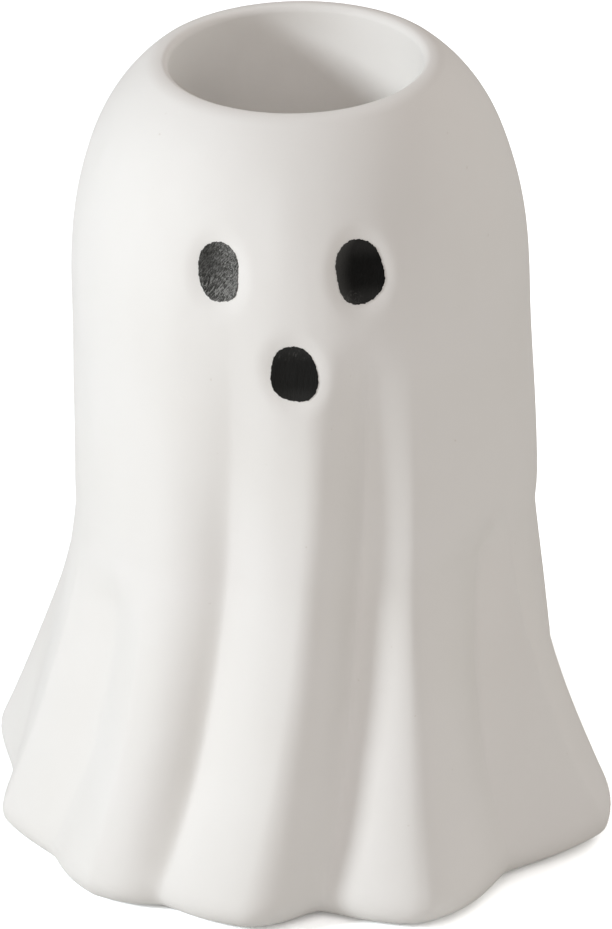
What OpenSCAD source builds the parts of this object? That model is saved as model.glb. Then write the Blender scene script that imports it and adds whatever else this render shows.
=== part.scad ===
// Ceramic ghost: a draped sheet in matt white ceramic that holds one dinner candle.
// Millimetres, +Z up, the face looks along -Y, origin on the table under the candle's axis.
// Azimuths are in degrees, 0 at the face and growing towards +X.

/* [Body] */
// Height from the table to the crest of the lip
height = 80; // [76:1:90]
// Width across the head
head_width = 43.6; // [42:0.1:48]
// How far the dome starts below the crest
dome_height = 24.5; // [22:0.5:28]
// Squareness of the dome, 2 is an ellipse
dome_power = 2.6; // [2.2:0.1:3]
// Width where the sheet starts to flare
waist_width = 44.6; // [43:0.1:48]
// Height where the sheet starts to flare
waist_height = 34.7; // [30:0.1:38]
// Mean width that the flare would reach at the table
hem_width = 66; // [63:0.5:68]
// Radius of the hem's rounded edge
hem_edge = 3.8; // [3:0.1:5]
// Gap between the hem and the table
hem_lift = 0.3; // [0.2:0.1:0.6]
// Wall of the sheet at the head
wall = 4.5; // [3.5:0.25:5]

/* [Folds] */
// Height where an average fold has faded out
fold_top = 60; // [50:1:62]
// Depth of the deepest folds at the hem
fold_depth = 4; // [2:0.25:4.5]
// How far the hem wanders in and out of a circle
hem_reach = 2; // [0:0.25:2.25]
// Height over which the folds change towards the hem's edge
edge_height = 16; // [10:1:24]

/* [Candle cup] */
// Bore of the cup, for a candle of 22 to 23 mm
bore_width = 24; // [22.6:0.1:24.6]
// Depth of the cup, from the crest of the lip
cup_depth = 25; // [18:1:30]
// Thickness of the cup's floor
cup_floor = 3; // [2:0.5:5]
// Radius of the lip's round on the side of the bore
lip_round = 0.7; // [0.5:0.1:1.2]
// Radius of the lip's round on the outside
lip_shoulder = 2.4; // [1.8:0.1:3]
// Room for slip between the cup and the sheet's opening
cup_gap = 0.15; // [0.1:0.05:0.3]

/* [Face] */
// How far the eyes lie below the crest of the lip
eye_drop = 13.2; // [12:0.1:18]
// Distance between the eyes, along the surface
eye_spacing = 14.4; // [12:0.1:16]
// Width of the left eye
left_eye_width = 4.4; // [3:0.1:5.5]
// Height of the left eye
left_eye_tall = 5.7; // [4:0.1:6.5]
// Width of the right eye
right_eye_width = 5.1; // [3:0.1:5.5]
// Height of the right eye
right_eye_tall = 6.1; // [4:0.1:6.5]
// How far the mouth lies below the eyes
mouth_drop = 9.5; // [9:0.1:12]
// Width of the mouth
mouth_width = 4.5; // [3:0.1:5.5]
// Height of the mouth
mouth_tall = 5.7; // [4:0.1:6.5]
// Depth of the hollows pressed for the eyes and mouth
press_depth = 0.6; // [0.3:0.1:1]
// Width of the soft edge round each hollow
press_edge = 1.6; // [1:0.1:2]
// Thickness of the black glaze in the hollows
glaze_thickness = 0.25; // [0.15:0.05:0.4]
// Gap between the glaze and the sheet
glaze_gap = 0.1; // [0.08:0.01:0.15]

/* [Base] */
// Width of the plate that closes the hollow
plate_width = 36; // [32:0.5:37]
// Thickness of the plate
plate_thickness = 3; // [2:0.5:4]
// Bevel on the plate's edges
plate_bevel = 0.5; // [0.2:0.1:0.8]
// Room for slip round the plate
plate_gap = 0.15; // [0.1:0.05:0.3]
// Width of the vent hole in the plate
vent_width = 5; // [3:0.5:8]
// How far the ledge above the plate reaches in
ledge_reach = 1.5; // [1:0.25:2]
// Thickness of the ledge
ledge_thickness = 1.5; // [1:0.25:2]
// Width of the felt pad
felt_width = 33; // [28:0.5:34]
// Thickness of the felt pad
felt_thickness = 1.5; // [1:0.1:2]
// Glue line between the felt and the plate
glue_line = 0.05; // [0.02:0.01:0.1]

/* [Hidden] */
$fn = 96;

head_r = head_width / 2;
waist_r = waist_width / 2;
hem_r = hem_width / 2;
bore_r = bore_width / 2;
plate_r = plate_width / 2;
dome_start = height - dome_height;
eye_height = height - eye_drop;

// The flare of the sheet
flare_power = 1.27;

// One fold valley each: azimuth at the hem, halfway pull and azimuth at the fold top
hem_azimuths = [-94.5, -65, -33.5, 3.5, 53.5, 122.5, 152, 186, 226];
pull_azimuths = [-81.5, -43, -16, 21.5, 47.5, 68.5, 145, 184, 226];
top_azimuths = [-110, -61, -16, 19.5, 71.5, 86, 136, 184, 228];
// The same valleys' heights and depths, as shares of fold_top and fold_depth
top_shares = [0.81, 0.57, 1.8, 1.03, 0.66, 0.64, 0.7, 0.7, 0.7];
depth_shares = [0.19, 0.77, 0.77, 0.84, 1.38, 0.77, 0.75, 0.75, 0.75];
// How much of that depth is there at the hem's edge, and how slowly it fades towards the fold top
edge_shares = [1.19, 0.82, 0.52, 0.95, 0.95, 0.83, 1, 1, 1];
fade_powers = [0.39, 0.31, 0.86, 0.3, 0.37, 0.6, 0.6, 0.6, 0.6];
// Where the hem lies, as shares of hem_reach outside its mean circle
reach_shares = [-0.89, -0.99, -2.48, -3.06, -1.12, -1.56, -0.45, -0.35, 3.3];
// How soft each valley's crease is, and how steeply its left and right sides rise
crease_shares = [0.2, 0.27, 0.17, 0.29, 0.32, 0.16, 0.18, 0.18, 0.18];
left_arch_powers = [1.05, 1.05, 3, 1.83, 1.39, 1.46, 1.8, 1.8, 1.8];
right_arch_powers = [1.05, 1.15, 1.25, 1.5, 1.05, 1.05, 1.4, 1.4, 1.4];
// How far along each lobe its crest lies, at the hem and at the fold top
low_crest_shares = [0.39, 0.58, 0.55, 0.42, 0.39, 0.5, 0.5, 0.5, 0.5];
high_crest_shares = [0.68, 0.19, 0.58, 0.25, 0.13, 0.5, 0.5, 0.5, 0.5];
valleys = len(hem_azimuths);

// The lip is an arc on each side of its crest, and the sheet's dome leaves it at the seam
seam_angle = 38;
crest_r = bore_r + lip_round;
lip_z = height - lip_round;
seam_r = crest_r + lip_shoulder * sin(seam_angle);
seam_z = height - lip_shoulder * (1 - cos(seam_angle));
dome_rise = (seam_z - dome_start) / pow(1 - pow(seam_r / head_r, dome_power), 1 / dome_power);
collar_r = seam_r + cup_gap;

// Heights of the stack at the base
plate_z = felt_thickness + glue_line;
ledge_z = plate_z + plate_thickness + plate_gap;
ledge_top = ledge_z + ledge_thickness;
seat_r = plate_r + plate_gap;
ledge_r = seat_r - ledge_reach;

// The hollow follows the sheet at this distance, and flares this much less
inner_flare_share = 0.35;
inner_head_r = head_r - wall;
inner_rise = dome_rise - wall;
collar_low = dome_start + inner_rise * pow(1 - pow(collar_r / inner_head_r, dome_power), 1 / dome_power);

// The surface is drawn finer round the face
fine_half = 40;
fine_steps = 32;
coarse_steps = 56;
azimuths = concat(
    [for (i = [0:fine_steps - 1]) fine_half * (2 * i / fine_steps - 1)],
    [for (i = [0:coarse_steps - 1]) fine_half + (360 - 2 * fine_half) * i / coarse_steps]
);
hem_steps = 5;
skirt_steps = 14;
face_steps = 16;
crown_steps = 6;
hollow_steps = 4;
vault_steps = 5;

function ease(t) = let (c = min(max(t, 0), 1)) c * c * (3 - 2 * c);
function blend(a, b, t) = a + (b - a) * t;
function flare(z) = pow(max(waist_height - z, 0) / waist_height, flare_power);
function place(r, az, z) = [r * sin(az), -r * cos(az), z];

// The sheet without its folds
function skirt_r(z) =
    blend(head_r, waist_r, ease((dome_start - z) / (dome_start - waist_height)))
    + (hem_r - waist_r) * flare(z);
function dome_r(z) =
    head_r * pow(max(1 - pow((z - dome_start) / dome_rise, dome_power), 0), 1 / dome_power);
function hem_inset(z) =
    let (q = min(max((hem_edge + hem_lift - z) / hem_edge, 0), 1)) hem_edge * (1 - sqrt(1 - q * q));

// Valley i at height z; the valley after the last one is the first, a full turn on
function valley_azimuth(i, z) =
    let (j = i % valleys, t = min(z / fold_top, 1))
    pow(1 - t, 2) * hem_azimuths[j] + 2 * t * (1 - t) * pull_azimuths[j] + t * t * top_azimuths[j]
    + (i < valleys ? 0 : 360);
function valley_depth(i, z) =
    let (top = min(fold_top * top_shares[i], seam_z))
    fold_depth * depth_shares[i] * blend(edge_shares[i], 1, ease(z / edge_height))
    * pow(1 - ease(z / top), fade_powers[i]);
// The arch from a valley's soft crease, at x = 0, to the top of the lobe, at x = 1
function arch(x, crease, power) =
    let (c = min(max(x, 0), 1))
    pow(max(1 - sqrt(c * c + crease * crease) + crease * (1 - c), 0), power);
function fold_relief(az, z) =
    let (
        first = valley_azimuth(0, z),
        turned = (az - first) % 360,
        a = first + (turned < 0 ? turned + 360 : turned),
        i = len([for (k = [0:valleys - 1]) if (valley_azimuth(k, z) <= a) k]) - 1,
        j = (i + 1) % valleys,
        left = valley_azimuth(i, z),
        u = (a - left) / (valley_azimuth(i + 1, z) - left),
        crest = blend(low_crest_shares[i], high_crest_shares[i], min(z / fold_top, 1)),
        reach = blend(reach_shares[i], reach_shares[j], ease(u))
    )
    hem_reach * reach * flare(z)
    - (u < crest
        ? valley_depth(i, z) * arch(u / crest, crease_shares[i], right_arch_powers[i])
        : valley_depth(j, z) * arch((1 - u) / (1 - crest), crease_shares[j], left_arch_powers[j]));

// Each feature of the face: azimuth, height, half width, half height and lean. The power is the
// squareness of its outline, 2 is an ellipse.
face_power = 2.3;
eye_turn = eye_spacing / 2 / head_r * 180 / PI;
face = [
    [-eye_turn, eye_height, left_eye_width / 2, left_eye_tall / 2, -0.03],
    [eye_turn, eye_height, right_eye_width / 2, right_eye_tall / 2, -0.02],
    [1, eye_height - mouth_drop, mouth_width / 2, mouth_tall / 2, -0.09]
];
press_floor_share = 0.35;
film_shares = [0.3, 0.65, 1];
film_sides = 28;
function press(f, az, z) =
    let (
        up = z - f[1],
        side = (az - f[0]) * PI / 180 * head_r - f[4] * up,
        out = norm([side / f[2], up / f[3]]) - press_floor_share,
        edge = 1 - press_floor_share + press_edge / f[2]
    )
    press_depth * (1 - ease(out / edge));

function sheet_r(az, z) =
    (z > dome_start ? dome_r(z) : skirt_r(z)) - hem_inset(z) + fold_relief(az, z)
    - (abs(az) < fine_half ? press(face[0], az, z) + press(face[1], az, z) + press(face[2], az, z) : 0);

// Heights of the rings on the outside, from the hem to the collar
hem_top = hem_lift + hem_edge;
face_low = eye_height - mouth_drop - mouth_tall;
face_high = eye_height + right_eye_tall;
collar_z = dome_start + dome_rise * pow(1 - pow(collar_r / head_r, dome_power), 1 / dome_power);
outer_heights = concat(
    [for (i = [0:hem_steps - 1]) hem_lift + hem_edge * (1 - cos(90 * i / hem_steps))],
    [for (i = [0:skirt_steps - 1]) blend(hem_top, face_low, i / skirt_steps)],
    [for (i = [0:face_steps - 1]) blend(face_low, face_high, i / face_steps)],
    [for (i = [0:crown_steps]) blend(face_high, collar_z, sin(90 * i / crown_steps))]
);
// Rings of the inside, radius and height, from the collar down to the table side of the plate's seat
function hollow_r(z) = inner_head_r + inner_flare_share * (hem_r - waist_r) * flare(z);
hollow_low = ledge_top + ledge_thickness;
inner_rings = concat(
    [for (i = [0:vault_steps - 1])
        let (z = blend(collar_low, dome_start, 1 - cos(90 * i / vault_steps)),
            r = inner_head_r * pow(1 - pow((z - dome_start) / inner_rise, dome_power), 1 / dome_power))
        [r, z]],
    [for (i = [0:hollow_steps]) let (z = blend(dome_start, hollow_low, i / hollow_steps)) [hollow_r(z), z]],
    [[ledge_r, ledge_top], [ledge_r, ledge_z], [seat_r, ledge_z], [seat_r, hem_lift]]
);

// A closed skin over rings of points, all of one length. The last ring is joined to the first,
// or each of the two gets a flat cap.
module ring_skin(rings, capped = false) {
    count = len(rings[0]);
    total = len(rings);
    top = (total - 1) * count;
    caps = [for (j = [1:count - 2]) each [[0, j, j + 1], [top, top + j + 1, top + j]]];
    sides = [for (k = [0:capped ? total - 2 : total - 1]) for (j = [0:count - 1]) let (
            a = k * count + j,
            b = k * count + (j + 1) % count,
            c = ((k + 1) % total) * count + (j + 1) % count,
            d = ((k + 1) % total) * count + j
        ) each [[a, c, b], [a, d, c]]];
    polyhedron(
        points = [for (ring = rings) each ring],
        faces = capped ? concat(sides, caps) : sides,
        convexity = 6
    );
}

// The draped sheet: folded and pressed outside, round inside
module sheet_shell() {
    outer = [for (z = outer_heights) [for (az = azimuths) place(sheet_r(az, z), az, z)]];
    inner = [for (ring = inner_rings) [for (az = azimuths) place(ring[0], az, ring[1])]];
    color("whitesmoke") ring_skin(concat(outer, inner));
}

// The turned cup with its rounded lip, luted into the top of the sheet
module candle_cup() {
    lip_steps = 8;
    floor_z = height - cup_depth;
    shoulder = [for (i = [0:lip_steps - 1]) let (t = seam_angle * (1 - i / lip_steps))
        [crest_r + lip_shoulder * sin(t), height - lip_shoulder * (1 - cos(t))]];
    lip = [for (i = [0:lip_steps]) let (t = 90 * i / lip_steps)
        [crest_r - lip_round * sin(t), lip_z + lip_round * cos(t)]];
    color("whitesmoke") rotate_extrude()
        polygon(concat([[0, floor_z], [0, floor_z - cup_floor], [seam_r, floor_z - cup_floor]], shoulder,
            lip, [[bore_r, floor_z]]));
}

// The disc that closes the hollow, with the vent that firing needs
module base_plate() {
    rim_r = plate_r - plate_bevel;
    color("gainsboro") difference() {
        translate([0, 0, plate_z]) rotate_extrude()
            polygon([[0, 0], [rim_r, 0], [plate_r, plate_bevel], [plate_r, plate_thickness - plate_bevel],
                [rim_r, plate_thickness], [0, plate_thickness]]);
        cylinder(h = plate_z + 2 * plate_thickness, d = vent_width);
    }
}

// The soft disc that the holder stands on
module felt_pad() {
    color("lightgray") cylinder(h = felt_thickness, d = felt_width);
}

// A line round one feature of the face: a share of its outline, lifted off the sheet
function film_ring(f, share, lift) =
    [for (j = [0:film_sides - 1]) let (
            across = cos(360 * j / film_sides),
            along = sin(360 * j / film_sides),
            reach = share * pow(pow(abs(across), face_power) + pow(abs(along), face_power), -1 / face_power),
            up = f[3] * reach * along,
            side = f[2] * reach * across + f[4] * up,
            az = f[0] + side / head_r * 180 / PI,
            z = f[1] + up
        ) place(sheet_r(az, z) + lift, az, z)];

// The film of black glaze in one pressed hollow, its back first
module glaze_film(f) {
    back = [for (share = film_shares) film_ring(f, share, glaze_gap)];
    front = [for (share = film_shares) film_ring(f, share, glaze_gap + glaze_thickness)];
    ring_skin(concat(back, [for (i = [len(front) - 1:-1:0]) front[i]]), capped = true);
}

module left_eye() {
    color("black") glaze_film(face[0]);
}

module right_eye() {
    color("black") glaze_film(face[1]);
}

module mouth() {
    color("black") glaze_film(face[2]);
}

sheet_shell();
candle_cup();
base_plate();
felt_pad();
left_eye();
right_eye();
mouth();
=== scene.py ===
"""Ceramic ghost candle holder: the dressed part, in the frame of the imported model."""

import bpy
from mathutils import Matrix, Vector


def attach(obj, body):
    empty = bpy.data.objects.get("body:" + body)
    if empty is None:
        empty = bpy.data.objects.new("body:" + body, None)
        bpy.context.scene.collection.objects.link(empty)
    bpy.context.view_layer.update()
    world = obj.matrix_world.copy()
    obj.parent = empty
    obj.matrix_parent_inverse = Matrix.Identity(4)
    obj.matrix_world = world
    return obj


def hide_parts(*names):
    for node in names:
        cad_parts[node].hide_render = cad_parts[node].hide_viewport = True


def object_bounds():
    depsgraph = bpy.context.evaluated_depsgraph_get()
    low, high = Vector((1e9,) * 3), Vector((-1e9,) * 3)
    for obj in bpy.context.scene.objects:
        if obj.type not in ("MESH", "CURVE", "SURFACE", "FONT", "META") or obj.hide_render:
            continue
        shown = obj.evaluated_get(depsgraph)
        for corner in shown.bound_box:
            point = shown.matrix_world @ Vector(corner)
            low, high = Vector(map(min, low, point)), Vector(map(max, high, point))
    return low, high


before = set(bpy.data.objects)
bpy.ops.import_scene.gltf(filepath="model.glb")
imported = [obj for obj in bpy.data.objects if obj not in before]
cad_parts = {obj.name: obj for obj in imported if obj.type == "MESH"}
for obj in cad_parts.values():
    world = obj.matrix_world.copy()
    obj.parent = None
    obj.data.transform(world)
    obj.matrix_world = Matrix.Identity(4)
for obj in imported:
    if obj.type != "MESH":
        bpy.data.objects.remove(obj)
cad_low, cad_high = [list(corner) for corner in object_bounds()]

import math
from collections import namedtuple

import bpy
import numpy as np
from mathutils import Matrix, Vector

MM = 0.001

# The outside of the sheet in millimetres, as in the part's source
HEIGHT = 80.0
HEAD_R = 21.8
DOME_HEIGHT = 24.5
DOME_POWER = 2.6
WAIST_R = 22.3
WAIST_HEIGHT = 34.7
FLARE_POWER = 1.27
HEM_R = 33.0
HEM_EDGE = 3.8
HEM_LIFT = 0.3
HEM_REACH = 2.0
EDGE_HEIGHT = 16.0
FOLD_TOP = 60.0
FOLD_DEPTH = 4.0
# The last millimetres over which a valley fades out softly, which the source leaves out
SOFT_START = 6.0

# The valleys between the folds, as in the part's source, with one value of each list per valley. hem, pull
# and top are the azimuths of a valley's path in degrees from the face, and the shares are those of the
# sizes above. The first six were fitted to the photograph, which doesn't show the last three.
VALLEYS = {
    "hem": [-94.5, -65, -33.5, 3.5, 53.5, 122.5, 152, 186, 226],
    "pull": [-81.5, -43, -16, 21.5, 47.5, 68.5, 145, 184, 226],
    "top": [-110, -61, -16, 19.5, 71.5, 86, 136, 184, 228],
    "top_share": [0.81, 0.57, 1.8, 1.03, 0.66, 0.64, 0.7, 0.7, 0.7],
    "depth_share": [0.19, 0.77, 0.77, 0.84, 1.38, 0.77, 0.75, 0.75, 0.75],
    "edge_share": [1.19, 0.82, 0.52, 0.95, 0.95, 0.83, 1, 1, 1],
    "fade_power": [0.39, 0.31, 0.86, 0.3, 0.37, 0.6, 0.6, 0.6, 0.6],
    "reach_share": [-0.89, -0.99, -2.48, -3.06, -1.12, -1.56, -0.45, -0.35, 3.3],
    "crease_share": [0.2, 0.27, 0.17, 0.29, 0.32, 0.16, 0.18, 0.18, 0.18],
    "left_arch_power": [1.05, 1.05, 3, 1.83, 1.39, 1.46, 1.8, 1.8, 1.8],
    "right_arch_power": [1.05, 1.15, 1.25, 1.5, 1.05, 1.05, 1.4, 1.4, 1.4],
    "low_crest_share": [0.39, 0.58, 0.55, 0.42, 0.39, 0.5, 0.5, 0.5, 0.5],
    "high_crest_share": [0.68, 0.19, 0.58, 0.25, 0.13, 0.5, 0.5, 0.5, 0.5],
}
VALLEY_COUNT = len(VALLEYS["hem"])

# The inside of the sheet, and what it carries
WALL = 4.5
INNER_FLARE_SHARE = 0.35
COLLAR_DROP = 0.4
LEDGE_REACH = 1.5
LEDGE_THICKNESS = 1.5
PLATE_R = 18.0
PLATE_THICKNESS = 3.0
PLATE_Z = 1.55
PLATE_GAP = 0.15
FELT_R = 16.5
FELT_THICKNESS = 1.5
FELT_EDGE = 0.35

# The candle cup, with a round of its own on each side of the lip's crest
BORE_R = 12.0
CUP_DEPTH = 25.0
CUP_FLOOR = 3.0
CUP_GAP = 0.15
CUP_FILLET = 0.6
CUP_FOOT_BEVEL = 2
LIP_ROUND = 0.7
LIP_SHOULDER = 2.4
SEAM_ANGLE = 38.0

# The face: each feature's middle, its half sizes, and its lean to the side per millimetre up
Feature = namedtuple("Feature", "azimuth height half_width half_height lean")
FACE = {
    "left_eye": Feature(-19.1, 66.8, 2.25, 2.85, -0.03),
    "right_eye": Feature(18.8, 67.0, 2.5, 3.05, -0.02),
    "mouth": Feature(1.0, 57.3, 2.3, 2.85, -0.09),
}
FACE_POWER = 2.3
# Every pressed hollow lies within this azimuth on either side
FACE_SPAN = 40
PRESS_DEPTH = 0.6
PRESS_EDGE = 1.6
PRESS_FLOOR_SHARE = 0.35
# How far the black stands proud, in its field and near its edge, and how deep its edge and its back lie
BLACK_LIFT = 0.09
BLACK_EDGE_LIFT = 0.07
BLACK_SINK = 0.06
BLACK_ROOT = 0.1

# The unevenness of a sheet formed by hand. Each wave has a count around the sheet, a turn in radians per
# millimetre up, a start in radians and a share of the depth.
UNEVEN_DEPTH = 0.035
UNEVEN_WAVES = [(5, 0.11, 0.7, 1.0), (9, -0.19, 2.1, 0.8), (17, 0.31, 4.4, 0.6), (26, -0.07, 1.3, 0.5)]
UNEVEN_FADE_AT_SEAM = 12
UNEVEN_FADE_AT_HEM = 6

# How finely the meshes are made. The skirt's even rings end where the crown's closer ones start.
SHEET_SIDES = 440
HEM_RINGS = 18
SKIRT_RINGS = 210
CROWN_START = 74
CROWN_RINGS = 26
VAULT_RINGS = 12
LINING_RINGS = 16
CUP_SIDES = 220
CUP_SIDE_Z = 70
SHOULDER_RINGS = 30
LIP_RINGS = 36
BORE_RINGS = 24
FILLET_RINGS = 9
CUP_FLOOR_RADII = (8, 5, 2)
FELT_SIDES = 180
FELT_EDGE_RINGS = 7
FELT_RADII = (6, 12)
BLACK_SIDES = 180
BLACK_SHARES = np.linspace(0.06, 0.94, 16)
BLACK_EDGE_SHARES = (0.975, 1.0)
SHARP_ANGLE = math.radians(38)

# The photograph's frame in pixels, and the camera that was fitted to it, in metres but for its sensor
IMAGE_WIDTH = 612
IMAGE_HEIGHT = 929
LENS_PIXEL = (304.6, 460.0)
FOCAL_PIXELS = 12590.0
SENSOR_HEIGHT = 36.0
CAMERA_AWAY = 1.2
CAMERA_TARGET = 0.038
CAMERA_AZIMUTH = math.radians(3.0)
CAMERA_RISE = math.radians(26.03)
CAMERA_ROLL = math.radians(1.26)

# The studio, with its lengths in metres
FLOOR_HALF = 0.6
FLOOR_SEEN = (2.35, 2.45, 2.52, 1)
WORLD_LIGHT = (0.152, 0.135, 0.126, 1)
WORLD_SEEN = (1, 1, 1, 1)
LAMP_AWAY = 0.8
LAMP_TARGET = 0.04


def dome_share(share):
    """A dome's radius as a share, for a share of its rise, and the other way round."""
    return np.clip(1 - share**DOME_POWER, 0, 1) ** (1 / DOME_POWER)


DOME_START = HEIGHT - DOME_HEIGHT
CREST_R = BORE_R + LIP_ROUND
SEAM_R = CREST_R + LIP_SHOULDER * math.sin(math.radians(SEAM_ANGLE))
SEAM_Z = HEIGHT - LIP_SHOULDER * (1 - math.cos(math.radians(SEAM_ANGLE)))
DOME_RISE = float((SEAM_Z - DOME_START) / dome_share(SEAM_R / HEAD_R))


def ease(t):
    """From 0 to 1 with a soft start and a soft end."""
    t = np.clip(t, 0, 1)
    return t * t * (3 - 2 * t)


def flare(z):
    """How far the skirt has widened: 0 from the waist up, 1 at the table."""
    return (np.clip(WAIST_HEIGHT - z, 0, None) / WAIST_HEIGHT) ** FLARE_POWER


def plain_r(z):
    """The sheet's radius without its folds."""
    neck = ease((DOME_START - z) / (DOME_START - WAIST_HEIGHT))
    body = HEAD_R + (WAIST_R - HEAD_R) * neck + (HEM_R - WAIST_R) * flare(z)
    dome = HEAD_R * dome_share(np.clip(z - DOME_START, 0, None) / DOME_RISE)
    under = np.clip((HEM_EDGE + HEM_LIFT - z) / HEM_EDGE, 0, 1)
    return np.where(z > DOME_START, dome, body) - HEM_EDGE * (1 - np.sqrt(1 - under * under))


def valley_azimuth(i, z):
    """A valley's path up the sheet, a curve over its three azimuths. Numbers past the last go round again."""
    j = i % VALLEY_COUNT
    t = np.clip(z / FOLD_TOP, 0, 1)
    hem, pull, top = VALLEYS["hem"][j], VALLEYS["pull"][j], VALLEYS["top"][j]
    return (1 - t) ** 2 * hem + 2 * t * (1 - t) * pull + t * t * top + 360 * (i // VALLEY_COUNT)


def valley_depth(i, z):
    """A valley's depth: it changes near the hem's edge and fades out towards the valley's top."""
    j = i % VALLEY_COUNT
    top = min(FOLD_TOP * VALLEYS["top_share"][j], SEAM_Z)
    edge = VALLEYS["edge_share"][j]
    low = edge + (1 - edge) * ease(z / EDGE_HEIGHT)
    fade = (1 - ease(z / top)) ** VALLEYS["fade_power"][j]
    return low * FOLD_DEPTH * VALLEYS["depth_share"][j] * fade * ease((top - z) / SOFT_START)


def arch(x, i, side):
    """The section of a fold from its valley, where it is 1, to its crest, where it is 0."""
    x = np.clip(x, 0, 1)
    crease = VALLEYS["crease_share"][i % VALLEY_COUNT]
    near = np.sqrt(x * x + crease**2) - crease * (1 - x)
    return np.clip(1 - near, 0, 1) ** VALLEYS[side][i % VALLEY_COUNT]


def fold_relief(az, z):
    """How far the folds move the sheet outwards. Each lobe lies between two valleys and has one crest."""
    first = valley_azimuth(0, z)
    a = first + (az - first) % 360
    t = np.clip(z / FOLD_TOP, 0, 1)
    relief = np.zeros(np.broadcast(az, z).shape)
    for i in range(VALLEY_COUNT):
        k = (i + 1) % VALLEY_COUNT
        left = valley_azimuth(i, z)
        u = (a - left) / (valley_azimuth(i + 1, z) - left)
        low_crest = VALLEYS["low_crest_share"][i]
        crest = low_crest + (VALLEYS["high_crest_share"][i] - low_crest) * t
        left_reach = VALLEYS["reach_share"][i]
        reach = left_reach + (VALLEYS["reach_share"][k] - left_reach) * ease(u)
        valley = np.where(
            u < crest,
            valley_depth(i, z) * arch(u / crest, i, "right_arch_power"),
            valley_depth(i + 1, z) * arch((1 - u) / (1 - crest), i + 1, "left_arch_power"),
        )
        relief = np.where((u >= 0) & (u < 1), HEM_REACH * reach * flare(z) - valley, relief)
    return relief


def press(feature, az, z):
    """The depth of one pressed hollow of the face, even in its middle and soft at its edge."""
    f = FACE[feature]
    up = z - f.height
    side = np.radians(az - f.azimuth) * HEAD_R - f.lean * up
    out = np.hypot(side / f.half_width, up / f.half_height) - PRESS_FLOOR_SHARE
    return PRESS_DEPTH * (1 - ease(out / (1 - PRESS_FLOOR_SHARE + PRESS_EDGE / f.half_width)))


def unevenness(az, z):
    """Waves that only ever take the sheet inwards, and fade out at the seam and at the hem."""
    a = np.radians(az)
    waves = sum(share * np.sin(count * a + turn * z + start) for count, turn, start, share in UNEVEN_WAVES)
    highest = sum(share for *_, share in UNEVEN_WAVES)
    depth = UNEVEN_DEPTH * (waves - highest)
    return depth * ease((SEAM_Z - z) / UNEVEN_FADE_AT_SEAM) * ease(z / UNEVEN_FADE_AT_HEM)


def sheet_r(az, z):
    """The radius of the sheet's outside."""
    az = np.asarray(az, float)
    z = np.asarray(z, float)
    near = (az + 180) % 360 - 180
    pressed = sum(np.where(abs(near) < FACE_SPAN, press(name, near, z), 0) for name in FACE)
    return plain_r(z) + fold_relief(az, z) - pressed + unevenness(az, z)


def place(r, az, z):
    """Points at these radii, azimuths and heights."""
    a = np.radians(az)
    return np.stack(np.broadcast_arrays(r * np.sin(a), -r * np.cos(a), z), -1)


def quarter_turn(count):
    """Angles from 0 to 90 degrees, in radians."""
    return np.radians(np.linspace(0, 90, count))


def skin(name, rings, caps=()):
    """A mesh over rings of points in millimetres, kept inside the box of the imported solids.
    caps are rings closed by a point in their middle. Without caps the last ring joins the first."""
    rings = np.asarray(rings, float)
    total, count = rings.shape[:2]
    ring = np.arange(total * count).reshape(total, count)
    below, above = (ring[:-1], ring[1:]) if caps else (ring, np.roll(ring, -1, 0))
    quads = np.stack([below, np.roll(below, -1, 1), np.roll(above, -1, 1), above], -1).reshape(-1, 4)
    faces = quads.tolist()
    points = np.clip(rings.reshape(-1, 3) * MM, cad_low, cad_high).tolist()
    for k in caps:
        middle = len(points)
        points.append(np.mean([points[i] for i in ring[k]], 0).tolist())
        around = zip(ring[k].tolist(), np.roll(ring[k], -1).tolist())
        faces += [(b, a, middle) if k == 0 else (a, b, middle) for a, b in around]
    mesh = bpy.data.meshes.new(name)
    mesh.from_pydata(points, [], faces)
    mesh.update()
    mesh.shade_smooth()
    mesh.set_sharp_from_angle(angle=SHARP_ANGLE)
    return add(name, mesh)


def add(name, data):
    """An object of this data, in the scene."""
    made = bpy.data.objects.new(name, data)
    bpy.context.scene.collection.objects.link(made)
    return made


def lathe(name, profile, sides):
    """A closed turned piece, from a profile of radii and heights that starts and ends near the axis."""
    az = np.arange(sides) * 360 / sides
    return skin(name, [place(r, az, np.full(sides, z)) for r, z in profile], caps=(0, -1))


def dress(piece, node, material):
    """The piece takes the place of one solid."""
    piece.data.materials.append(material)
    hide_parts(node)
    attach(piece, "root")


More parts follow.
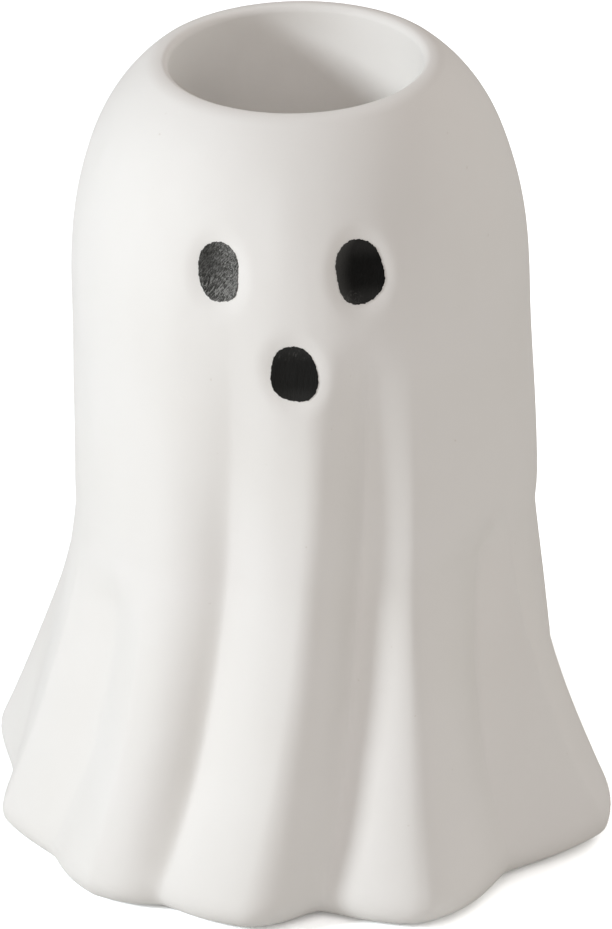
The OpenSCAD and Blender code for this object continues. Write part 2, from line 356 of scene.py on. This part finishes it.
class Shader:
    """One material, with short calls for its nodes."""

    def __init__(self, name):
        self.material = bpy.data.materials.new(name)
        self.material.use_nodes = True
        self.tree = self.material.node_tree
        self.main = self.tree.nodes["Principled BSDF"]
        self.out = self.tree.nodes["Material Output"]
        self.place = self.node("ShaderNodeTexCoord").outputs["Object"]

    def node(self, kind, inputs=(), **settings):
        """A node with these settings, and a value or a link for each of these inputs."""
        made = self.tree.nodes.new(kind)
        for key, value in settings.items():
            setattr(made, key, value)
        for key, value in dict(inputs).items():
            self.feed(made.inputs[key], value)
        return made

    def feed(self, socket, value):
        if isinstance(value, bpy.types.NodeSocket):
            self.tree.links.new(value, socket)
        else:
            socket.default_value = value

    def set(self, **values):
        """Inputs of the main shader, with an underscore for each space in their names."""
        for key, value in values.items():
            self.feed(self.main.inputs[key.replace("_", " ")], value)

    def parts(self):
        """Where a point is across the object and up it."""
        made = self.node("ShaderNodeSeparateXYZ", {"Vector": self.place})
        return made.outputs["X"], made.outputs["Z"]

    def math(self, kind, a, b=0.0, c=0.0, clamp=False):
        made = self.node("ShaderNodeMath", operation=kind, use_clamp=clamp)
        for socket, value in zip(made.inputs, (a, b, c)):
            self.feed(socket, value)
        return made.outputs[0]

    def noise(self, scale, detail=2.0, rough=0.5, at=None, warp=0.0):
        inputs = {
            "Vector": at or self.place,
            "Scale": scale,
            "Detail": detail,
            "Roughness": rough,
            "Distortion": warp,
        }
        return self.node("ShaderNodeTexNoise", inputs).outputs["Fac"]

    def ramp(self, value, stops):
        """Colours over a value, from pairs of a value and a colour."""
        made = self.node("ShaderNodeValToRGB", {"Fac": value})
        points = made.color_ramp.elements
        while len(points) < len(stops):
            points.new(0.5)
        for point, (at, colour) in zip(points, stops):
            point.position = at
            point.color = (*colour, 1)
        return made.outputs["Color"]

    def strokes(self, lean, wide=0.24, long=1.8, warp=1.0):
        """Brush strokes of this size in millimetres, that lean from upright towards +X."""
        size = (wide * MM, wide * MM, long * MM)
        inputs = {"Vector": self.place, "Scale": size, "Rotation": (0, lean, 0)}
        along = self.node("ShaderNodeMapping", inputs, vector_type="TEXTURE").outputs["Vector"]
        return self.noise(1.0, detail=3, rough=0.6, at=along, warp=warp)

    def span(self, value, low, high, to_low=0.0, to_high=1.0):
        """A soft step, from one result to another while the value goes from low to high."""
        inputs = {0: value, 1: low, 2: high, 3: to_low, 4: to_high}
        return self.node("ShaderNodeMapRange", inputs, interpolation_type="SMOOTHSTEP").outputs[0]

    def near(self, place, start, end, most=1.0):
        """A soft step between two places in millimetres, from 0 to the most."""
        return self.span(place, start * MM, end * MM, to_high=most)

    def mix(self, share, a, b):
        inputs = {0: share, 6: a, 7: b}
        return self.node("ShaderNodeMix", inputs, data_type="RGBA").outputs[2]

    def bump(self, height, distance, strength=1.0, under=None):
        """Relief of this many millimetres, over another relief if one is given."""
        inputs = {"Height": height, "Distance": distance * MM, "Strength": strength}
        if under is not None:
            inputs["Normal"] = under
        return self.node("ShaderNodeBump", inputs).outputs["Normal"]


def matt_ceramic():
    """Matt white glaze: almost even, a little warmer and cooler by turns, with a fine dry grain."""
    s = Shader("matt_ceramic")
    warm, plain, cool = (0.868, 0.852, 0.822), (0.88, 0.866, 0.84), (0.888, 0.872, 0.852)
    speck_colour = (0.62, 0.57, 0.5, 1)
    colour = s.ramp(s.noise(55, detail=3, rough=0.55), [(0.3, warm), (0.55, plain), (0.75, cool)])
    speck = s.span(s.noise(1500, detail=1), 0.79, 0.86)
    colour = s.mix(s.math("MULTIPLY", speck, 0.35), colour, speck_colour)
    s.set(Base_Color=colour, Roughness=s.span(s.noise(320, detail=4), 0.3, 0.7, 0.62, 0.78))
    s.set(Specular_IOR_Level=0.3)
    grain = s.bump(s.noise(2600, detail=3, rough=0.6), distance=0.03, strength=0.35)
    s.set(Normal=s.bump(s.noise(260, detail=3), distance=0.1, strength=0.25, under=grain))
    return s.material


def bare_ceramic():
    """Unglazed clay: warmer, chalky, with small pits and the rings of trimming."""
    s = Shader("bare_ceramic")
    cloud = s.noise(90, detail=5, rough=0.6)
    dusty, clay, pale = (0.76, 0.72, 0.66), (0.82, 0.79, 0.74), (0.86, 0.83, 0.79)
    colour = s.ramp(cloud, [(0.3, dusty), (0.6, clay), (0.8, pale)])
    s.set(Base_Color=colour, Roughness=s.span(cloud, 0.3, 0.7, 0.8, 0.95))
    s.set(Specular_IOR_Level=0.2)
    inputs = {"Vector": s.place, "Scale": 420.0, "Distortion": 1.2, "Detail": 2.0}
    ring = s.node("ShaderNodeTexWave", inputs, wave_type="RINGS", rings_direction="Z")
    pits = s.bump(s.noise(1500, detail=4), distance=0.08, strength=0.6)
    s.set(Normal=s.bump(ring.outputs["Fac"], distance=0.06, strength=0.5, under=pits))
    return s.material


def felt():
    """Pale pressed felt, with a soft sheen and a fine nap."""
    s = Shader("felt")
    hair = s.noise(900, detail=6, rough=0.75, warp=1.5)
    dark, plain, pale = (0.62, 0.61, 0.58), (0.72, 0.71, 0.68), (0.8, 0.79, 0.76)
    colour = s.ramp(hair, [(0.3, dark), (0.55, plain), (0.8, pale)])
    s.set(Base_Color=colour, Roughness=s.span(s.noise(400, detail=3), 0.3, 0.7, 0.88, 1.0))
    s.set(Specular_IOR_Level=0.1, Sheen_Weight=0.4, Sheen_Roughness=0.5)
    nap = s.noise(2200, detail=6, rough=0.7, warp=2.0)
    s.set(Normal=s.bump(nap, distance=0.3, strength=0.8))
    return s.material


def black_paint(name, dark, pale, shine, lean, paler_places):
    """Brushed satin black: its darkest and palest grey, its shine, the strokes' lean and the paler places,
    which on the eyes are painted highlights.
    """
    s = Shader(name)
    # The pale grey mixed in here is painted highlight on the eyes
    colour = s.mix(paler_places(s), (dark, dark, dark * 0.85, 1), (pale, pale, pale * 0.96, 1))
    ridge = s.strokes(lean)
    s.set(Base_Color=colour, Roughness=s.span(ridge, 0.3, 0.7, 0.5, 0.7))
    s.set(Specular_IOR_Level=shine)
    s.set(Normal=s.bump(ridge, distance=0.1, strength=0.8))
    return s.material


def left_scratches_and_painted_highlights(s):
    """Painted highlights where light catches the brush strokes: uphill strokes at the lower left and a
    stippled right side, where the hollow faces the light, over a painted sheen that grows to the right, with
    dark scratches all over.
    """
    x, z = s.parts()
    uphill = s.span(s.strokes(0.5, wide=0.12, long=0.7, warp=0.5), 0.5, 0.6)
    scratch = s.strokes(0.6, wide=0.09, long=0.3, warp=0.8)
    right = s.near(x, -7.8, -5.2)
    low = s.span(z, 67.6 * MM, 64.5 * MM, to_low=0.25)
    dots = s.span(scratch, 0.49, 0.64)
    # Painted highlight on the stipple, stronger on the right where the hollow faces the light
    stipple = s.math("MULTIPLY", dots, s.math("MULTIPLY_ADD", right, 0.85, 0.2))
    marks = s.math("MAXIMUM", stipple, s.math("MULTIPLY", uphill, low))
    # Painted sheen: a pale share that grows towards the right side, which faces the light
    painted_sheen = s.math("MULTIPLY_ADD", right, 0.2, 0.06)
    cut = s.span(scratch, 0.36, 0.5, to_low=0.1)
    return s.math("MULTIPLY", s.math("ADD", marks, painted_sheen), cut, clamp=True)


def right_painted_highlights(s):
    """Painted highlight along the left edge, where the black turns towards the light, less at the top and
    bottom, and painted highlights on a few brush marks at the lower left.
    """
    edge_bend = -134.0
    x, z = s.parts()
    up = s.math("SUBTRACT", z, FACE["right_eye"].height * MM)
    inward = s.math("MULTIPLY_ADD", s.math("MULTIPLY", up, up), edge_bend, x)
    left = s.near(inward, 5.9, 4.1, most=0.42)
    top = s.near(z, 67.7, 69.5, most=0.14)
    foot = s.near(z, 65.9, 64.2, most=0.16)
    # The painted highlight's mask along the left edge, the top and the bottom
    rim = s.math("MAXIMUM", left, s.math("MAXIMUM", top, foot))
    marks = s.span(s.strokes(0.6, wide=0.13, long=0.5), 0.5, 0.66)
    corner = s.math("MULTIPLY", s.near(x, 7.2, 5.6), s.near(z, 65.6, 64.5))
    return s.math("MULTIPLY_ADD", marks, s.math("MULTIPLY", corner, 0.5), rim, clamp=True)


def mouth_paler_places(s):
    """Nearly even, a little paler at the top and bottom, with a few pale specks near the top."""
    z = s.parts()[1]
    ends = s.math("MAXIMUM", s.near(z, 58.3, 59.8, most=0.16), s.near(z, 56.1, 54.8, most=0.16))
    marks = s.span(s.strokes(0.3, wide=0.12, long=0.4), 0.54, 0.68)
    upper = s.near(z, 58.2, 59.2)
    rim = s.math("ADD", ends, 0.08)
    return s.math("MULTIPLY_ADD", marks, s.math("MULTIPLY", upper, 0.5), rim, clamp=True)


def sheet_lining():
    """The inside of the sheet, from its opening down to the hem: collar, vault, skirt, ledge and seat."""
    vault_r = HEAD_R - WALL
    vault_rise = DOME_RISE - WALL
    collar_r = SEAM_R + CUP_GAP
    vault_height = vault_rise * dome_share(collar_r / vault_r)
    ledge_z = PLATE_Z + PLATE_THICKNESS + PLATE_GAP
    seat_r = PLATE_R + PLATE_GAP
    lining = [(collar_r, SEAM_Z - COLLAR_DROP)]
    for up in vault_height * np.cos(quarter_turn(VAULT_RINGS)):
        lining.append((vault_r * dome_share(up / vault_rise), DOME_START + up))
    for z in np.linspace(DOME_START, ledge_z + 2 * LEDGE_THICKNESS, LINING_RINGS)[1:]:
        lining.append((vault_r + INNER_FLARE_SHARE * (HEM_R - WAIST_R) * flare(z), z))
    lining += [(seat_r - LEDGE_REACH, ledge_z + LEDGE_THICKNESS), (seat_r - LEDGE_REACH, ledge_z)]
    lining += [(seat_r, ledge_z), (seat_r, HEM_LIFT)]
    return lining


def make_sheet(material):
    """The sheet, its outside from the hem up and its lining from the top down."""
    az = np.arange(SHEET_SIDES) * 360 / SHEET_SIDES
    hem = HEM_LIFT + HEM_EDGE * (1 - np.cos(quarter_turn(HEM_RINGS)))
    skirt = np.linspace(HEM_LIFT + HEM_EDGE, CROWN_START, SKIRT_RINGS)[1:]
    crown = CROWN_START + (SEAM_Z - CROWN_START) * np.sin(quarter_turn(CROWN_RINGS))[1:]
    rings = [place(sheet_r(az, np.full(SHEET_SIDES, z)), az, z) for z in np.r_[hem, skirt, crown]]
    rings += [place(r, az, np.full(SHEET_SIDES, z)) for r, z in sheet_lining()]
    dress(skin("ghost_sheet", rings), "sheet_shell", material)


def make_cup(material):
    """The turned cup: its foot, its outside, the lip's two rounds, the bore, a fillet and the floor."""
    floor = HEIGHT - CUP_DEPTH
    foot = floor - CUP_FLOOR
    lip_z = HEIGHT - LIP_ROUND
    profile = [(SEAM_R - CUP_FOOT_BEVEL, foot), (SEAM_R, foot), (SEAM_R, CUP_SIDE_Z)]
    for t in np.radians(np.linspace(SEAM_ANGLE, 0, SHOULDER_RINGS)[:-1]):
        profile.append((CREST_R + LIP_SHOULDER * math.sin(t), HEIGHT - LIP_SHOULDER * (1 - math.cos(t))))
    for t in quarter_turn(LIP_RINGS):
        profile.append((CREST_R - LIP_ROUND * math.sin(t), lip_z + LIP_ROUND * math.cos(t)))
    for z in np.linspace(lip_z, floor + CUP_FILLET, BORE_RINGS)[1:-1]:
        profile.append((BORE_R, z))
    for t in quarter_turn(FILLET_RINGS):
        profile.append((BORE_R - CUP_FILLET * (1 - math.cos(t)), floor + CUP_FILLET * (1 - math.sin(t))))
    profile += [(r, floor) for r in CUP_FLOOR_RADII]
    dress(lathe("lip_and_bore", profile, CUP_SIDES), "candle_cup", material)


def make_felt(material):
    """The felt disc, with soft edges."""
    lower = [(r, 0) for r in FELT_RADII]
    for t in quarter_turn(FELT_EDGE_RINGS):
        lower.append((FELT_R - FELT_EDGE + FELT_EDGE * math.sin(t), FELT_EDGE - FELT_EDGE * math.cos(t)))
    upper = [(r, FELT_THICKNESS - z) for r, z in lower[::-1]]
    piece = lathe("felt_disc", lower + upper, FELT_SIDES)
    dress(piece, "felt_pad", material)


def dress_base(material):
    """The base plate keeps its solid's own shape, in this material."""
    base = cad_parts["base_plate"]
    base.data.materials.clear()
    base.data.materials.append(material)


def make_black(name, node, material, waves):
    """The black brushed into one hollow, with the uneven edge that a brush leaves. Each wave of the edge has
    a count around it, a share of the radius, and the angle in degrees where one wave is highest."""
    f = FACE[node]
    turn = np.arange(BLACK_SIDES) * 2 * math.pi / BLACK_SIDES
    edge = (abs(np.cos(turn)) ** FACE_POWER + abs(np.sin(turn)) ** FACE_POWER) ** (-1 / FACE_POWER)
    for count, share, at in waves:
        edge = edge * (1 + share * np.cos(count * (turn - math.radians(at))))

    def ring(share, lift):
        up = f.half_height * share * edge * np.sin(turn)
        side = f.half_width * share * edge * np.cos(turn) + f.lean * up
        az, z = f.azimuth + np.degrees(side / HEAD_R), f.height + up
        return place(sheet_r(az, z) + lift, az, z)

    shares = [*BLACK_SHARES, *BLACK_EDGE_SHARES]
    lifts = [BLACK_LIFT] * len(BLACK_SHARES) + [BLACK_EDGE_LIFT, -BLACK_SINK]
    back = [ring(share, -BLACK_ROOT) for share in shares]
    front = [ring(share, lift) for share, lift in zip(shares, lifts)]
    dress(skin(name, back + front[::-1], caps=(0, -1)), node, material)


def make_face():
    """The eyes and the mouth, each with its own black and its own coarse waves of the edge, as read from
    the photograph. All share the brush's fine waves."""
    fine = [(17, 0.008, 20), (31, 0.007, 5), (53, 0.006, 2)]
    # The left eye's black is set greyer as painted sheen, for its hollow faces the key light, and the right
    # eye's darker as painted shade
    left_paint = black_paint("black_left", dark=0.014, pale=0.27, shine=0.22, lean=0.5, paler_places=left_scratches_and_painted_highlights)
    right_paint = black_paint("black_right", dark=0.003, pale=0.12, shine=0.13, lean=0.2, paler_places=right_painted_highlights)
    mouth_paint = black_paint("black_mouth", dark=0.003, pale=0.07, shine=0.17, lean=0.1, paler_places=mouth_paler_places)
    left_edge = [(2, 0.025, 105), (3, 0.018, 50), (4, 0.012, 54), (5, 0.013, 30), (6, 0.011, 22)]
    right_edge = [(1, 0.04, 215), (2, 0.016, 120), (3, 0.02, 120), (4, 0.017, 67), (6, 0.009, 40)]
    mouth_edge = [(1, 0.04, 230), (2, 0.024, 50), (3, 0.031, 83), (4, 0.009, 25), (5, 0.01, 65)]
    make_black("black_left_eye", "left_eye", left_paint, left_edge + fine)
    make_black("black_right_eye", "right_eye", right_paint, right_edge + fine)
    make_black("black_mouth", "mouth", mouth_paint, mouth_edge + fine)


def make_floor():
    """A pale floor, white to the camera except in the object's shadow, and clear from below."""
    mesh = bpy.data.meshes.new("floor")
    low, high = -FLOOR_HALF, FLOOR_HALF
    mesh.from_pydata([(low, low, 0), (high, low, 0), (high, high, 0), (low, high, 0)], [], [(0, 1, 2, 3)])
    floor = add("floor", mesh)
    s = Shader("floor")
    seen = s.node("ShaderNodeLightPath").outputs["Is Camera Ray"]
    tone = s.ramp(s.noise(3), [(0.3, (0.8, 0.8, 0.79)), (0.7, (0.82, 0.82, 0.81))])
    colour = s.mix(seen, tone, FLOOR_SEEN)
    plain = s.node("ShaderNodeBsdfDiffuse", {"Color": colour}).outputs[0]
    clear = s.node("ShaderNodeBsdfTransparent").outputs[0]
    under = s.node("ShaderNodeNewGeometry").outputs["Backfacing"]
    both = s.node("ShaderNodeMixShader", {0: under, 1: plain, 2: clear}).outputs[0]
    s.feed(s.out.inputs["Surface"], both)
    mesh.materials.append(s.material)


def make_world():
    """A faint warm light from all round, white where the camera looks past the floor."""
    world = bpy.data.worlds.new("studio")
    world.use_nodes = True
    bpy.context.scene.world = world
    tree = world.node_tree
    seen = tree.nodes.new("ShaderNodeLightPath").outputs["Is Camera Ray"]
    colour = tree.nodes.new("ShaderNodeMix")
    colour.data_type = "RGBA"
    tree.links.new(seen, colour.inputs[0])
    colour.inputs[6].default_value = WORLD_LIGHT
    colour.inputs[7].default_value = WORLD_SEEN
    tree.links.new(colour.outputs[2], tree.nodes["Background"].inputs["Color"])


def make_lamp(name, azimuth, elevation, watts, size, colour):
    """A round lamp of this size in metres, in this direction in degrees, turned to the object's middle."""
    lamp = bpy.data.lights.new(name, "AREA")
    lamp.shape = "DISK"
    lamp.size = size
    lamp.energy = watts
    lamp.color = colour
    holder = add(name, lamp)
    a, e = math.radians(azimuth), math.radians(elevation)
    aim = Vector((math.sin(a) * math.cos(e), -math.cos(a) * math.cos(e), math.sin(e)))
    holder.location = aim * LAMP_AWAY + Vector((0, 0, LAMP_TARGET))
    holder.rotation_euler = aim.to_track_quat("Z", "Y").to_euler()


def make_camera():
    """A long lens from 26 degrees above, at the photograph's angle."""
    flat = math.cos(CAMERA_RISE)
    back = Vector((math.sin(CAMERA_AZIMUTH) * flat, -math.cos(CAMERA_AZIMUTH) * flat, math.sin(CAMERA_RISE)))
    level = (-back).cross(Vector((0, 0, 1))).normalized()
    upright = level.cross(-back)
    right = level * math.cos(CAMERA_ROLL) - upright * math.sin(CAMERA_ROLL)
    up = upright * math.cos(CAMERA_ROLL) + level * math.sin(CAMERA_ROLL)
    lens = bpy.data.cameras.new("camera")
    lens.sensor_fit = "VERTICAL"
    lens.sensor_height = SENSOR_HEIGHT
    lens.lens = FOCAL_PIXELS / IMAGE_HEIGHT * SENSOR_HEIGHT
    lens.shift_x = (IMAGE_WIDTH / 2 - LENS_PIXEL[0]) / IMAGE_HEIGHT
    lens.shift_y = (LENS_PIXEL[1] - IMAGE_HEIGHT / 2) / IMAGE_HEIGHT
    lens.clip_start = 0.1
    camera = add("camera", lens)
    turned = Matrix((right, up, back)).transposed().to_4x4()
    turned.translation = Vector((0, 0, CAMERA_TARGET)) + back * CAMERA_AWAY
    camera.matrix_world = turned
    bpy.context.scene.camera = camera


white = matt_ceramic()
make_sheet(white)
make_cup(white)
make_felt(felt())
dress_base(bare_ceramic())
make_face()

make_floor()
make_world()
make_lamp("key", -68, 23, 3.99, 0.18, (0.921, 0.968, 1))
make_lamp("near", 20, 10, 0.567, 0.35, (1, 0.974, 0.905))
make_lamp("right", 100, 10, 0.627, 0.35, (1, 0.995, 0.938))
make_lamp("rear", 130, 40, 1.2, 0.5, (1, 0.973, 0.958))
make_lamp("front", 0, 40, 1.25, 0.7, (1, 0.943, 0.94))
make_lamp("back", 180, 60, 0.816, 0.7, (1, 0.934, 0.875))
make_camera()
bpy.context.scene.view_settings.view_transform = "Standard"
